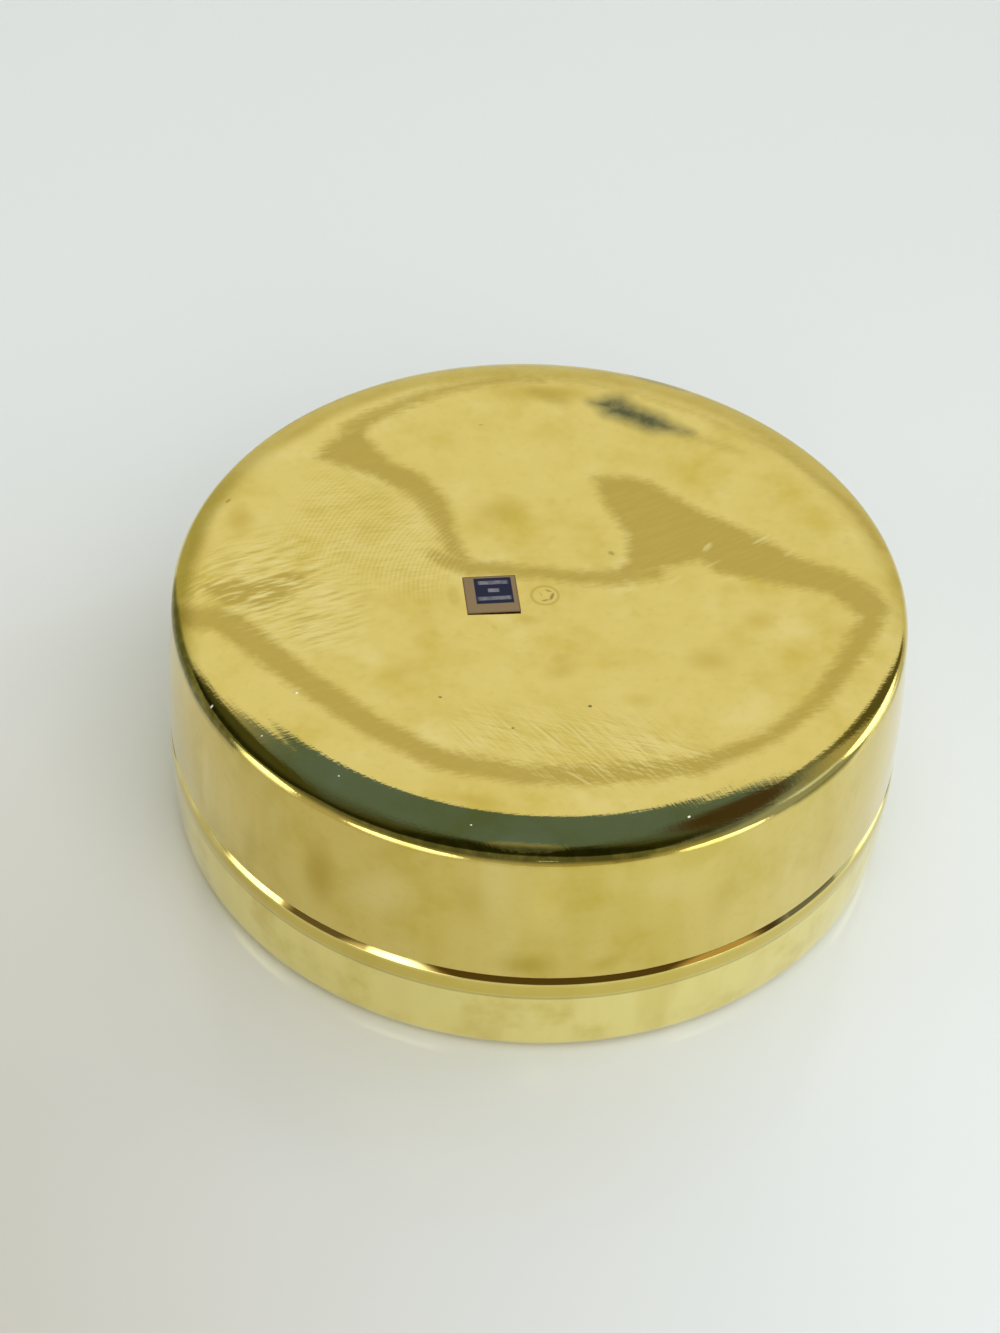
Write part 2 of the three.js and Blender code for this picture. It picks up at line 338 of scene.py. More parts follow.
# Marks on the underside, in millimetres from the axis: a painted dark reflection in a long loop
# round the dish, scuffed patches, and single scratches, spots and specks of dust. A stroke is a
# list of (x, y, half width), and an outline is a closed list of (x, y).
undersideMarks = {
    "reachDown": 8,
    "farDepth": -50.0,
    # each mark's fade in millimetres, and its share at the edge
    "fades": {
        "smudge": (3.4, 0.45), "chatter": (7, 0.45), "leftScuff": (8, 0.35),
        "frontScuff": (8, 0.35), "cornerTarnish": (0.8, 0.5),
    },
    # the long dark loop is a painted reflection of a dark part of the room, given as outlines and
    # strokes
    "darkReflectionOutlines": [
        {"strength": 1.0, "points": [
            (8, 30), (14, 30.4), (17.5, 29.5), (26.3, 22.8), (35.5, 17.3), (44.7, 10.4),
            (51.9, 7.2), (57.1, 3.3), (58.4, -0.7), (57.2, -4.8), (53.1, -2.7), (48.2, 2.4),
            (40.2, 4.3), (34.3, 5.9), (29.8, 7), (26.9, 9.9), (22.5, 8.2), (10, 3.2), (14.5, 9),
            (14.3, 16.3), (10, 23.2),
        ]},
        {"strength": 1.0, "points": [
            (-41, 29), (-39.1, 32.9), (-33.2, 40.5), (-32, 35), (-27.7, 30), (-21.7, 27.2),
            (-17.4, 22), (-15.3, 14), (-12.5, 7), (-16.4, 6.8), (-19, 15), (-23.2, 21.3),
            (-30.6, 26.2), (-36, 27.8),
        ]},
        {"strength": 0.85, "points": [
            (-57, -5.5), (-50.4, -4.3), (-44, -1.6), (-39.5, 0.6), (-42.3, -6.7), (-46, -10.7),
            (-52, -11),
        ]},
    ],
    "darkReflectionStrokes": [
        {"strength": 0.95, "points": [
            (-18, 7, 1.7), (-12.2, 4.8, 2), (-7.1, 4.9, 1.7), (-0.3, 4.9, 1.5), (6.5, 4.3, 1.7),
            (13, 4.8, 1.9), (19, 6.4, 2),
        ]},
        {"strength": 1.0, "points": [
            (57, 0, 1.8), (55, -6, 2), (51.8, -13.8, 1.9), (46.5, -24, 1.5), (38.8, -33, 1.5),
            (27.1, -40.7, 1.8), (11.7, -43.6, 2.4), (-1, -44.8, 2.3), (-14.4, -42.7, 2.4),
            (-26.3, -35.6, 2.5), (-38.7, -25.7, 2.6), (-45.8, -19.2, 3), (-51, -14.5, 3),
            (-60, -12, 2),
        ]},
        {"strength": 0.9, "points": [
            (-35.6, 37.6, 1.8), (-30.6, 42.4, 1.5), (-24.6, 46.8, 1.3), (-18.6, 50.4, 1.2),
            (-9.8, 53.6, 1), (-2.2, 54.5, 0.9),
        ]},
        {"strength": 0.6, "points": [
            (-2.2, 54.9, 0.6), (5.7, 54.4, 0.6), (14.8, 52.2, 0.6), (26, 47.7, 0.6),
            (41.2, 38.2, 0.7), (54.4, 24.6, 0.8), (58.2, 16.3, 0.8),
        ]},
        {"strength": 0.45, "points": [(-3.3, 51.5, 1.3), (0.4, 49.8, 1.8), (2.6, 48.4, 0.8)]},
        {"strength": 0.5, "points": [(24, 41.5, 1.1), (30.2, 39.4, 0.9), (34, 37.6, 0.4)]},
    ],
    "smudgeStrokes": [
        {"strength": 1.0, "points": [
            (7, 49.2, 0.4), (11.3, 48.3, 3), (14.6, 46.4, 2.3), (18.2, 44.6, 2.5),
            (22, 43.2, 1.1), (25, 42.3, 0.2),
        ]},
        {"strength": 0.9, "points": [(14.6, 59.6, 0.3), (18.4, 58.4, 0.9), (23.5, 56.4, 0.2)]},
    ],
    "chatterOutline": [
        (-39.9, 26.1), (-42.6, 17.9), (-44.2, 7.5), (-36, 2.4), (-27.2, -1.3), (-18.5, -3.9),
        (-15.6, 4), (-17, 11.4), (-20.9, 18.6), (-27.3, 22.8),
    ],
    "leftScuffOutline": [
        (-61, -8), (-57, 3), (-48, 9), (-36, 6), (-29, -3), (-29, -13), (-36, -20), (-45, -17),
        (-54, -11),
    ],
    "frontScuffOutline": [
        (-14, -29), (0, -28.5), (12, -28), (24, -31), (32, -37), (25, -44), (11, -48), (-2, -43),
        (-11, -40),
    ],
    # x, y, length, width, turn in degrees, strength
    "scratches": [
        (2.9, -34.9, 11.5, 0.55, -47, 0.5), (8.4, -35.1, 12, 0.6, -52, 0.5),
        (12.7, -31.2, 4.5, 0.5, -25, 0.4), (18.1, -37.1, 5, 0.5, -51, 0.45),
        (26.3, -37, 10, 0.5, -22, 0.4), (8.2, -44.5, 8, 0.7, -37, 0.5),
        (6, -33.4, 8, 0.5, -41, 0.4), (-10.8, -36.2, 9, 0.5, -52, 0.3),
        (-37.5, -12, 10, 0.4, 14, 0.35), (38, 15.4, 5, 0.6, 37, 0.3),
        (28.1, 13.2, 3.4, 0.6, 57, 0.3),
    ],
    "scratchOffset": 0.45,
    "spots": [
        (9.2, -27.4, 0.8, 0.6, 0, 0.8), (-3.1, -33.8, 0.7, 0.6, 0, 0.6),
        (-15.3, -27.6, 0.6, 0.5, 0, 0.5), (11.7, 10.8, 2, 1.5, -40, 0.5),
        (-7.4, -9.4, 2, 1.2, -45, 0.3), (4, -16, 5, 3, 20, 0.25), (-14.6, -2.4, 3, 7, 10, 0.35),
        (1.9, -0.8, 2.6, 0.8, 75, 0.9), (1.3, 0.5, 1.6, 0.6, 160, 0.7),
        (0.9, -1.9, 1.8, 0.6, 20, 0.7), (0.1, -0.5, 1.6, 0.5, 115, 0.5),
        (-54.9, 16.5, 2, 1.2, 60, 0.5),
    ],
    "notches": [
        (37.4, 15.4, 5, 1, 37, 0.5), (28.1, 13.3, 3.6, 1.1, 57, 0.55),
        (28.7, 8.7, 6, 1, 38, 0.25), (22.7, 4.7, 5, 1.1, 46, 0.3), (42.3, 12.3, 4, 0.9, 47, 0.3),
        (31.5, 5.2, 5, 0.8, 20, 0.25),
    ],
    # small marks that are nearly black
    "inkyMarks": [
        (9.2, -27.4, 0.9, 0.8, 0, 0.9), (-3.1, -33.8, 0.8, 0.7, 0, 0.6),
        (-15.3, -27.6, 0.9, 0.7, 0, 0.7), (11.7, 10.8, 1.6, 1.0, -40, 0.3),
        (2, -0.9, 2.6, 0.7, 75, 0.5), (1.3, 0.5, 1.6, 0.5, 160, 0.4),
        (0.9, -1.9, 1.8, 0.5, 20, 0.4), (-54.9, 16.5, 1.6, 0.8, 60, 0.35),
        (-12.5, 41.5, 1.4, 0.5, 10, 0.3),
    ],
    # soft deeper patches of the dish and shoulder
    "deepPatches": [
        (-7.9, 19.6, 15, 10, 20, 0.6), (-0.9, 50.9, 26, 7, 3, 0.75),
        (28.7, -14.9, 12, 9, 0, 0.55), (4.3, -19.4, 10, 6, 30, 0.4), (60.3, 7.4, 5, 10, 0, 0.4),
        (-58.3, 5, 6, 14, 0, 0.5), (17.3, -25.3, 8, 5, 0, 0.35), (-9.1, -51.6, 16, 5, -10, 0.45),
        (37.1, -4.7, 9, 7, 0, 0.35), (-2, -7, 7, 4, 0, 0.45), (-30, 12, 14, 8, 60, 0.35),
        (-22, -22, 10, 7, 30, 0.3), (-52.3, 11.5, 7, 12, 10, 0.55), (18, 20, 10, 6, -30, 0.3),
        (-44, 36, 14, 5, 45, 0.4), (30, 44, 12, 5, -35, 0.3),
    ],
    # A painted dark reflection of the room along the tight corner: millimetres round it from the
    # front, rightwards, then the radius less the height, then the half width.
    "cornerTarnishStrokes": [
        {"strength": 0.95, "points": [
            (-98, 16.6, 0.2), (-89, 16.6, 1.5), (-70, 16.7, 1.8), (-56, 16.5, 1.7),
            (-51, 16.0, 0.6),
        ]},
        {"strength": 0.85, "points": [
            (-56, 15.7, 0.8), (-45, 15.7, 0.7), (-30, 15.7, 0.9), (-18, 15.7, 1.2),
        ]},
        {"strength": 0.95, "points": [
            (-20, 15.6, 1.3), (-11, 15.1, 1.7), (0, 15.0, 1.8), (11, 15.1, 1.7), (20, 15.7, 1.4),
        ]},
        {"strength": 0.7, "points": [
            (15, 15.7, 1.6), (25, 15.4, 1.2), (36, 15.1, 0.8), (44, 14.8, 0.3),
        ]},
        {"strength": 0.6, "points": [
            (48, 17.3, 0.25), (60, 17.2, 0.4), (75, 17.2, 0.4), (88, 17.2, 0.2),
        ]},
        {"strength": 0.6, "points": [
            (118, 16.4, 0.2), (140, 16.6, 0.7), (160, 16.5, 0.5), (178, 16.6, 0.2),
        ]},
        {"strength": 0.6, "points": [(-170, 16.6, 0.2), (-150, 16.5, 0.6), (-128, 16.6, 0.2)]},
    ],
    # painted darker and paler reflections on the wall: millimetres round it from the front,
    # rightwards, then the height; they start and are full this far under the top
    "wallMarksBelow": (3, 6),
    "darkWallReflections": [
        (-34.5, 31, 22, 10, 90, 0.8), (1.5, 22.5, 15, 9, 0, 0.75), (14, 22.5, 10, 5, 15, 0.5),
        (-8, 36, 9, 14, 10, 0.35), (34, 32, 16, 8, 80, 0.3), (-50, 26, 18, 6, 85, 0.35),
    ],
    "paleWallReflections": [
        (-63.5, 30, 26, 4, 90, 0.7), (-23, 33, 18, 14, 60, 0.7), (24, 38, 20, 9, -20, 0.35),
        (47, 32, 24, 7, 85, 0.4), (-44, 38, 12, 5, 80, 0.4),
    ],
    "latheMark": {"centre": (0.75, -0.71), "radius": 2.3, "width": 0.9, "strength": 0.75},
    "dust": [
        (-8.6, -56.6, 0.5, 0.35, 0, 0.9), (25.5, -51.8, 0.75, 0.5, 40, 1),
        (-38.5, -29.8, 0.75, 0.6, 70, 0.9), (-52.1, -32.5, 0.8, 0.6, 60, 0.9),
        (-43.2, -39.6, 0.5, 0.4, 0, 0.8), (-30.1, -47.9, 0.4, 0.35, 0, 0.9),
    ],
}


# Depth inside a stroke: its half width less the distance to its line, both taken at the nearest
# place along each straight stretch, and the largest of these.
def depthInStroke(x, y, stroke):
    nodes = np.array(stroke, float)
    start, side = nodes[:-1, :2], np.diff(nodes[:, :2], axis=0)
    offset = np.stack([x, y], axis=1)[:, None, :] - start
    along = np.clip((offset * side).sum(axis=2) / (side ** 2).sum(axis=1), 0, 1)
    gap = np.hypot(*np.moveaxis(offset - along[..., None] * side, 2, 0))
    halfWidth = nodes[:-1, 2] + along * np.diff(nodes[:, 2])
    return (halfWidth - gap).max(axis=1)


# Depth inside a closed outline: the distance to its nearest side, negative outside it. A point is
# inside when a line from it towards +x crosses the outline an odd number of times.
def depthInOutline(x, y, outline):
    start = np.array(outline, float)
    end = np.roll(start, -1, axis=0)
    side = end - start
    offset = np.stack([x, y], axis=1)[:, None, :] - start
    along = np.clip((offset * side).sum(axis=2) / (side ** 2).sum(axis=1), 0, 1)
    gap = np.hypot(*np.moveaxis(offset - along[..., None] * side, 2, 0)).min(axis=1)
    rise = np.where(side[:, 1] == 0, 1.0, side[:, 1])
    crosses = (start[:, 1] > y[:, None]) != (end[:, 1] > y[:, None])
    crossing = start[:, 0] + (y[:, None] - start[:, 1]) * side[:, 0] / rise
    inside = (crosses & (x[:, None] < crossing)).sum(axis=1) % 2 == 1
    return np.where(inside, gap, -gap)


# Share of a mark at a depth inside it: the depth over the fade, plus the share at the edge
def shareAtDepth(depth, fade, atEdge):
    return np.clip(depth / fade + atEdge, 0, 1)


# Writes the marks to the underside's vertices: how deep each lies in the painted dark reflection,
# in millimetres, its strength there, and shares from 0 to 1 for the smudge, the scuffed patches and
# the painted dark reflection along the corner, placed by the way round the base and the radius less
# the height.
def markUnderside(piece, marks):
    mesh = piece.data
    points = np.empty(len(mesh.vertices) * 3)
    mesh.vertices.foreach_get("co", points)
    x, y, z = points.reshape(-1, 3).T / mm
    marked = np.flatnonzero(z > z.max() - marks["reachDown"])
    x, y, z = x[marked], y[marked], z[marked]
    depths = np.array(
        [depthInOutline(x, y, stainAndDarkReflection["points"]) for stainAndDarkReflection in marks["darkReflectionOutlines"]]
        + [depthInStroke(x, y, stainAndDarkReflection["points"]) for stainAndDarkReflection in marks["darkReflectionStrokes"]]
    )
    darkReflectionMarks = marks["darkReflectionOutlines"] + marks["darkReflectionStrokes"]
    strengths = np.array([stainAndDarkReflection["strength"] for stainAndDarkReflection in darkReflectionMarks])
    fields = {
        "darkReflectionDepth": (marks["farDepth"], depths.max(axis=0)),
        "darkReflectionStrength": (0.0, strengths[depths.argmax(axis=0)]),
    }
    for name in ("chatter", "leftScuff", "frontScuff"):
        depth = depthInOutline(x, y, marks[name + "Outline"])
        fields[name] = (0.0, shareAtDepth(depth, *marks["fades"][name]))
    around = np.arctan2(x, -y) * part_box("base_shell")[1].x / mm
    for name, u, v in (("smudge", x, y), ("cornerTarnish", around, np.hypot(x, y) - z)):
        shares = []
        for stroke in marks[name + "Strokes"]:
            depth = depthInStroke(u, v, stroke["points"])
            shares.append(stroke["strength"] * shareAtDepth(depth, *marks["fades"][name]))
        fields[name] = (0.0, np.max(shares, axis=0))
    for name, (elsewhere, values) in fields.items():
        column = np.full(len(mesh.vertices), elsewhere)
        column[marked] = values
        mesh.attributes.new(name, "FLOAT", "POINT").data.foreach_set("value", column)


# Brass, a copper and zinc alloy, spun over a former, buffed and lacquered: a warm, slightly
# greenish yellow mirror. It wavers a little, because it was worked by hand, and keeps faint
# rings from the roller, which are closer on the real thing and drawn here as wide as can show.
# A range holds the noise values where a tone starts and is full, then its strength. Streaks have
# a turn in degrees, a length and a width.
brassFinish = {
    "metal": "#e3cd73",
    # tone of the painted dark reflection, and of the dark scratches, spots and lathe mark
    "warmPatch": "#d0b84c",
    "lightPatch": "#eddb8e",
    # a paler copy of the brass for the lid, painted lighter to stand in for the brighter table it
    # mirrors
    "lidMetalPaintedPaler": "#f6e898",
    "stainAndDarkReflection": "#bfa74c",
    "smudge": "#5c5d3c",
    "pale": "#ecdd92",
    # dark brown of the painted shade and dark reflection in the groove
    "paintedGrooveShade": "#705210",
    # dark olive of the painted reflection along the tight corner
    "paintedCornerReflection": "#646129",
    "deepGold": "#c3a840",
    "dust": "#f4f4ee",
    "roughness": 0.05,
    "darkReflectionRoughness": 0.13,
    "lidRoughnessShares": (0.8, 1.4),
    "lacquer": 0.2,
    "lacquerRoughness": 0.04,
    "patchSize": 13 * mm,
    "patchRange": (0.44, 0.78, 0.7),
    "streakSize": (11 * mm, 11 * mm, 45 * mm),
    "streakRange": (0.5, 0.72, 0.35),
    "lightRange": (0.48, 0.28, 0.5),
    "speckleRange": (0.55, 0.75, 0.14),
    "waveSize": 24 * mm,
    "waveHeight": 0.12 * mm,
    "ringSpacing": 0.6 * mm,
    "ringHeight": 0.0008 * mm,
    "chatterSpacing": 0.8 * mm,
    "chatterHeight": 0.003 * mm,
    "ripples": (32, 6 * mm, 0.8 * mm),
    "crossingStreaks": (-50, 9 * mm, 0.45 * mm),
    "levelStreaks": (-14, 8 * mm, 0.4 * mm),
    "fineStreaks": (18, 4 * mm, 0.4 * mm),
    "scratchHeight": 0.007 * mm,
    "grainSize": 1.6 * mm,
    "darkReflectionRagged": 0.4,
    "darkReflectionFade": (-1.5, 1.4),
    "darkReflectionUneven": (0.92, 1.06),
    "leastSmudge": 0.8,
}


# A mark is a soft ellipse: it fades out where sqrt((u / a)² + (v / b)²) reaches 1, with u and v
# measured from its centre along and across it, and a and b half its length and width.
def addMarks(tree, place, marks, edge=0.35):
    total = 0.0
    for x, y, length, width, degrees, strength in marks:
        own = addNode(tree, "ShaderNodeMapping", {
            "Vector": place,
            "Location": (x * mm, y * mm, 0),
            "Rotation": (0, 0, math.radians(degrees)),
            "Scale": (length * mm / 2, width * mm / 2, 1),
        }, vector_type="TEXTURE")
        reach = addNode(tree, "ShaderNodeVectorMath", {0: own}, operation="LENGTH").outputs["Value"]
        mark = addNode(tree, "ShaderNodeMapRange", {
            "Value": reach, "From Min": 1.0, "From Max": edge, "To Max": strength,
        }, interpolation_type="SMOOTHSTEP")
        total = addNode(tree, "ShaderNodeMath", {0: total, 1: mark}, operation="MAXIMUM")
    return total


# Fine parallel streaks: noise drawn out along one direction, in an ellipse of these two sizes
def addStreaks(tree, place, degrees, length, width):
    turned = addNode(tree, "ShaderNodeMapping", {
        "Vector": place,
        "Rotation": (0, 0, math.radians(degrees)),
        "Scale": (length, width, width),
    }, vector_type="TEXTURE")
    return addNode(tree, "ShaderNodeTexNoise", {"Vector": turned, "Scale": 1.0, "Detail": 2.0})


# The ground of every polished face: patchy colour, a wavering normal and the roller's rings
def addBrassGround(tree, finish, metal="metal"):
    place = addNode(tree, "ShaderNodeTexCoord").outputs["Object"]
    patches = addNode(tree, "ShaderNodeTexNoise", {
        "Vector": place, "Scale": 1 / finish["patchSize"], "Detail": 4.0, "Roughness": 0.6,
    })
    upright = addNode(tree, "ShaderNodeMapping", {
        "Vector": place, "Scale": finish["streakSize"],
    }, vector_type="TEXTURE")
    streaks = addNode(tree, "ShaderNodeTexNoise", {"Vector": upright, "Scale": 1.0, "Detail": 3.0})
    shares = []
    for noise, key in ((patches, "patchRange"), (streaks, "streakRange"), (streaks, "lightRange")):
        start, full, strength = finish[key]
        shares.append(addNode(tree, "ShaderNodeMapRange", {
            "Value": noise, "From Min": start, "From Max": full, "To Max": strength,
        }, interpolation_type="SMOOTHSTEP"))
    warm = addNode(tree, "ShaderNodeMath", {
        0: shares[0], 1: shares[1],
    }, operation="ADD", use_clamp=True)
    colour = linearColour(finish[metal])
    for share, tone in ((shares[2], "lightPatch"), (warm, "warmPatch")):
        colour = addNode(tree, "ShaderNodeMix", {
            0: share, 6: colour, 7: linearColour(finish[tone]),
        }, data_type="RGBA").outputs[2]
    waves = addNode(tree, "ShaderNodeTexNoise", {
        "Vector": place, "Scale": 1 / finish["waveSize"], "Detail": 1.5, "Roughness": 0.35,
    })
    wavering = addNode(tree, "ShaderNodeBump", {"Distance": finish["waveHeight"], "Height": waves})
    rings = addNode(tree, "ShaderNodeTexWave", {
        "Vector": place, "Scale": waveUnit / finish["ringSpacing"],
        "Distortion": 1.2, "Detail": 2.0, "Detail Scale": 0.3,
    }, wave_type="RINGS", rings_direction="Z")
    ringed = addNode(tree, "ShaderNodeBump", {
        "Distance": finish["ringHeight"], "Height": rings.outputs["Fac"], "Normal": wavering,
    })
    grain = addNode(tree, "ShaderNodeTexNoise", {
        "Vector": place, "Scale": 1 / finish["grainSize"], "Detail": 3.0,
    })
    return {
        "place": place, "colour": colour, "wavering": wavering, "normal": ringed, "grain": grain,
    }


def finishBrass(tree, finish, ground, colour, roughness, normal, metallic=1.0):
    shader = addNode(tree, "ShaderNodeBsdfPrincipled", {
        "Base Color": colour,
        "Metallic": metallic,
        "Roughness": roughness,
        "Normal": normal,
        "Coat Weight": finish["lacquer"],
        "Coat Roughness": finish["lacquerRoughness"],
        "Coat Normal": ground["wavering"],
    })
    addNode(tree, "ShaderNodeOutputMaterial", {"Surface": shader})


# A place on the wall, unrolled: the radius times the turn from -Y towards +X, then the height
def addWallPlace(tree, place):
    parts = addNode(tree, "ShaderNodeSeparateXYZ", {0: place}).outputs
    towards = addNode(tree, "ShaderNodeMath", {0: parts[1], 1: -1.0}, operation="MULTIPLY")
    turn = addNode(tree, "ShaderNodeMath", {0: parts[0], 1: towards}, operation="ARCTAN2")
    around = addNode(tree, "ShaderNodeMath", {
        0: turn, 1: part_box("base_shell")[1].x,
    }, operation="MULTIPLY")
    return addNode(tree, "ShaderNodeCombineXYZ", {0: around, 1: parts[2]}), parts[2]


# The painted dark reflection's share grows with the depth inside it. Noise shifts that depth, so
# the edge breaks up.
def addDarkReflection(tree, finish, field, edgeNoises, ripples):
    depth = field["darkReflectionDepth"]
    ragged = finish["darkReflectionRagged"]
    for noise in edgeNoises:
        shift = addNode(tree, "ShaderNodeMapRange", {
            "Value": noise, "From Min": 0.3, "From Max": 0.7, "To Min": -ragged, "To Max": ragged,
        })
        depth = addNode(tree, "ShaderNodeMath", {0: depth, 1: shift}, operation="ADD")
    share = addNode(tree, "ShaderNodeMapRange", {
        "Value": depth, "From Min": finish["darkReflectionFade"][0], "From Max": finish["darkReflectionFade"][1],
    }, interpolation_type="SMOOTHSTEP")
    uneven = addNode(tree, "ShaderNodeMapRange", {
        "Value": ripples, "From Min": 0.3, "From Max": 0.7,
        "To Min": finish["darkReflectionUneven"][0], "To Max": finish["darkReflectionUneven"][1],
    })
    for factor in (field["darkReflectionStrength"], uneven):
        share = addNode(tree, "ShaderNodeMath", {0: share, 1: factor}, operation="MULTIPLY")
    return share


# Scuffs: how far each pattern is from its middle value, 0.5, times the share of its region
def addScuffs(tree, field, patterns):
    scuff = 0.0
    for pattern, region, reach, amount in patterns:
        centred = addNode(tree, "ShaderNodeMapRange", {
            "Value": pattern, "From Min": 0.5 - reach, "From Max": 0.5 + reach,
            "To Min": -amount, "To Max": amount,
        })
        scuff = addNode(tree, "ShaderNodeMath", {
            0: centred, 1: field[region], 2: scuff,
        }, operation="MULTIPLY_ADD")
    return scuff


# The lathe mark is a ring, where the distance to its centre is near its radius.
def addLatheMark(tree, place, mark):
    x, y = mark["centre"]
    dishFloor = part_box("base_shell")[1].z - basePan["dishDepth"]
    fromCentre = addNode(tree, "ShaderNodeVectorMath", {
        0: place, 1: (x * mm, y * mm, dishFloor),
    }, operation="DISTANCE").outputs["Value"]
    fromRing = addNode(tree, "ShaderNodeMath", {
        0: fromCentre, 1: mark["radius"] * mm,
    }, operation="SUBTRACT")
    fromRing = addNode(tree, "ShaderNodeMath", {0: fromRing}, operation="ABSOLUTE")
    return addNode(tree, "ShaderNodeMapRange", {
        "Value": fromRing, "From Min": mark["width"] / 2 * mm, "From Max": 0.0,
        "To Max": mark["strength"],
    }, interpolation_type="SMOOTHSTEP")


# The underside's brass adds its painted dark reflection, whose edge breaks up along fine streaks,
# the chatter of a lathe tool, scuffs, single scratches with a bright lip beside each, dark spots,
# white dust, a painted dark reflection along the tight corner, and painted darker and paler
# reflections on the wall under it.
def makeUndersideBrass(finish, marks):
    material, tree = newMaterial("buffedSpunBrassUnderside")
    ground = addBrassGround(tree, finish)
    place, grain = ground["place"], ground["grain"]
    field = {
        name: addNode(tree, "ShaderNodeAttribute", attribute_name=name).outputs["Fac"]
        for name in ("darkReflectionDepth", "darkReflectionStrength", *marks["fades"])
    }
    ripples, crossing, level, fine = [
        addStreaks(tree, place, *finish[name])
        for name in ("ripples", "crossingStreaks", "levelStreaks", "fineStreaks")
    ]
    # painted dark reflection looping round the dish
    stainAndDarkReflection = addDarkReflection(tree, finish, field, (fine, grain), ripples)
    chatterRings = addNode(tree, "ShaderNodeTexWave", {
        "Vector": place, "Scale": waveUnit / finish["chatterSpacing"],
        "Distortion": 4.0, "Detail": 2.0, "Detail Scale": 0.25,
    }, wave_type="RINGS", rings_direction="Z").outputs["Fac"]
    scuff = addScuffs(tree, field, (
        (ripples, "leftScuff", 0.2, 0.7), (fine, "leftScuff", 0.2, 0.3),
        (crossing, "frontScuff", 0.24, 0.4), (level, "frontScuff", 0.24, 0.4),
        (chatterRings, "chatter", 0.5, 0.2), (fine, "chatter", 0.2, 0.3),
    ))
    lips = [
        (x + marks["scratchOffset"] * math.sin(math.radians(turn)),
         y - marks["scratchOffset"] * math.cos(math.radians(turn)), length, width, turn, strength)
        for x, y, length, width, turn, strength in marks["scratches"]
    ]
    start, full, strength = finish["speckleRange"]
    speckles = addNode(tree, "ShaderNodeMapRange", {
        "Value": grain, "From Min": start, "From Max": full, "To Max": strength,
    })
    darker = addNode(tree, "ShaderNodeMath", {0: stainAndDarkReflection, 1: scuff}, operation="SUBTRACT")
    darkMarks = addMarks(tree, place, marks["scratches"] + marks["spots"])
    for other in (darkMarks, addLatheMark(tree, place, marks["latheMark"]), speckles):
        darker = addNode(tree, "ShaderNodeMath", {
            0: darker, 1: other,
        }, operation="MAXIMUM", use_clamp=True)
    paler = addNode(tree, "ShaderNodeMath", {
        0: scuff, 1: addMarks(tree, place, lips + marks["notches"]),
    }, operation="MAXIMUM", use_clamp=True)

    wallPlace, height = addWallPlace(tree, place)
    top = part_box("base_shell")[1].z
    wallStart, wallFull = marks["wallMarksBelow"]
    onWall = addNode(tree, "ShaderNodeMapRange", {
        "Value": height, "From Min": top - wallStart * mm, "From Max": top - wallFull * mm,
    })
    # painted reflections on the wall, darker and paler
    darkWallReflection, paleWallReflection = [
        addNode(tree, "ShaderNodeMath", {
            0: addMarks(tree, wallPlace, marks[name], edge=0.0), 1: onWall,
        }, operation="MULTIPLY")
        for name in ("darkWallReflections", "paleWallReflections")
    ]
    deepPatches = addMarks(tree, place, marks["deepPatches"], edge=0.0)

    # the grain lets a little of the metal through the smudge and the painted corner reflection
    thin = addNode(tree, "ShaderNodeMapRange", {
        "Value": grain, "From Min": 0.3, "From Max": 0.6, "To Min": finish["leastSmudge"],
    })
    # the smudge, and the painted dark reflection along the tight corner
    smudge, paintedCornerReflection = [
        addNode(tree, "ShaderNodeMath", {0: field[name], 1: thin}, operation="MULTIPLY")
        for name in ("smudge", "cornerTarnish")
    ]
    smudge = addNode(tree, "ShaderNodeMath", {
        0: smudge, 1: addMarks(tree, place, marks["inkyMarks"]),
    }, operation="MAXIMUM")
    dust = addMarks(tree, place, marks["dust"])
    colour = ground["colour"]
    # tones over the ground: painted reflections on the wall, deeper patches, the painted dark
    # reflection with the dark marks, pale scuffs, the smudge, the painted reflection along the
    # corner, and dust
    for share, tone in (
        (darkWallReflection, "deepGold"), (paleWallReflection, "lightPatch"), (deepPatches, "deepGold"),
        (darker, "stainAndDarkReflection"), (paler, "pale"), (smudge, "smudge"), (paintedCornerReflection, "paintedCornerReflection"),
        (dust, "dust"),
    ):
        colour = addNode(tree, "ShaderNodeMix", {
            0: share, 6: colour, 7: linearColour(finish[tone]),
        }, data_type="RGBA").outputs[2]
    roughness = addNode(tree, "ShaderNodeMapRange", {
        "Value": stainAndDarkReflection, "To Min": finish["roughness"], "To Max": finish["darkReflectionRoughness"],
    })
    chatter = addNode(tree, "ShaderNodeMath", {
        0: chatterRings, 1: field["chatter"],
    }, operation="MULTIPLY")
    normal = ground["normal"]
    for relief, relieved in (
        (chatter, "chatterHeight"), (fine, "scratchHeight"), (crossing, "scratchHeight"),
    ):
        normal = addNode(tree, "ShaderNodeBump", {
            "Distance": finish[relieved], "Height": relief, "Normal": normal,
        })
    bare = addNode(tree, "ShaderNodeMath", {0: 1.0, 1: dust}, operation="SUBTRACT")
    finishBrass(tree, finish, ground, colour, roughness, normal, bare)
    return material


# Painted shade and dark reflection in the groove, in millimetres: round it from the front,
# rightwards, then the height, the length, the width, the turn in degrees and the strength. A
# painted reflection makes the bead a little deeper and warmer than the rest, and a painted shade
# line runs along its foot.
lidMarks = {
    "paintedGrooveShade": [
        (-34, 18.3, 20, 8, 0, 0.9), (16.5, 18.3, 72, 8, 0, 1), (55, 18.3, 14, 8, 0, 0.7),
        (105, 18.3, 50, 8, 0, 0.9), (160, 18.3, 36, 8, 0, 0.8), (-95, 18.3, 30, 8, 0, 0.7),
        (-150, 18.3, 60, 8, 0, 0.9),
    ],
    "grooveShadeEdge": 0.8,
    "grooveShadeFade": 0.1 * mm,
    "beadReflectionStrength": 0.75,
    "footShadeDrop": 0.1 * mm,
    "footShadeHalf": 0.3 * mm,
    "footShadeStrength": 0.3,
}
